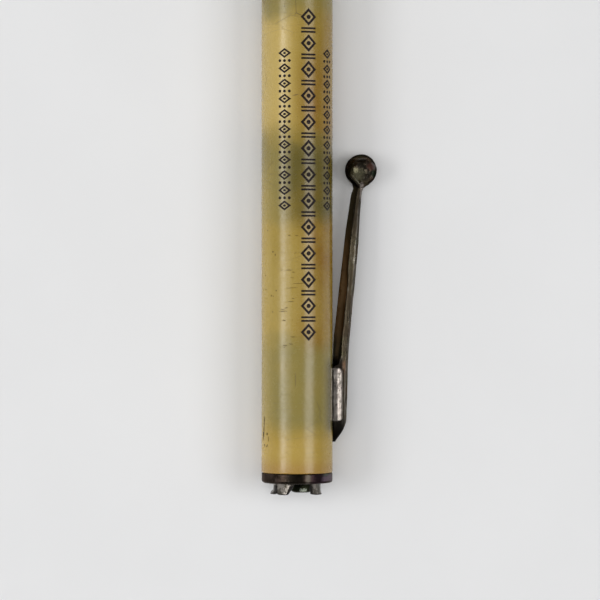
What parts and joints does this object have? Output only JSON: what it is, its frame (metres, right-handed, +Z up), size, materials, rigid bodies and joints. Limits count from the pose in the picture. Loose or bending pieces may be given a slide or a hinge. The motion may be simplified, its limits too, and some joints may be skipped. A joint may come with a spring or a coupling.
{
  "type": "twist-action mechanical pencil",
  "caption": "Slim round mechanical pencil with a twist nose, a ball-ended pocket clip and a clawed eraser cup on a pull-out end plug.",
  "frame": {"origin": "on the pencil's axis, at the outer face of the end ring that carries the eraser cup", "axes": "+Y along the pencil's axis towards its tip, +Z up from the table it lies on, +X the side the clip is on"},
  "size_m": [0.0154, 0.1366, 0.0094],
  "materials": {
    "celluloid": "polished, marbled cream and grey-green celluloid",
    "bronze": "dark brown tarnish, satin",
    "nickel": "worn nickel plating",
    "brass": "dull, aged",
    "steel": "spring steel, satin",
    "vulcanite": "hard rubber, satin",
    "graphite": "graphite, satin"
  },
  "bodies": {
    "barrel": {"barrel": "celluloid", "magazine_liner": "brass", "magazine_floor": "brass", "spare_leads": "graphite", "clip_bracket": "nickel", "spiral_sleeve": "brass", "drive_spiral": "steel", "tail_bushing": "brass", "front_bushing": "vulcanite"},
    "clip": {"clip": "bronze", "clip_ball": "bronze"},
    "end_plug": {"end_ring": "bronze", "friction_sleeve": "brass", "eraser_cup": "nickel"},
    "nose": {"nose_cone": "bronze", "lead_guide": "nickel", "drive_tube": "brass", "drive_tube_plug": "brass", "retaining_collar": "brass", "friction_washer": "steel"},
    "carrier": {"lead_carrier": "brass", "drive_lug": "steel", "lead_holder": "brass", "jaw_band": "steel", "lead": "graphite"}
  },
  "joints": [
    {"name": "end_plug_slide", "type": "slide", "parent": "barrel", "child": "end_plug", "axis": [0, -1, 0], "range_m": [0, 0.012]},
    {"name": "clip_flex", "type": "hinge", "parent": "barrel", "child": "clip", "pos_m": [0.00457, 0.0054, -0.00139], "axis": [-0.2902, 0, -0.957], "range_deg": [0, 6], "stiffness_Nm_per_rad": 1.3},
    {"name": "nose_twist", "type": "hinge", "parent": "barrel", "child": "nose", "pos_m": [0, 0.1025, 0], "axis": [0, 1, 0], "range_deg": [-1620, 1620]},
    {"name": "lead_feed", "type": "slide", "parent": "nose", "child": "carrier", "axis": [0, 1, 0], "range_m": [-0.0144, 0.0144]}
  ],
  "couplings": [
    {"joint": "lead_feed", "follows": "nose_twist", "m_per_rad": 0.0005093}
  ]
}
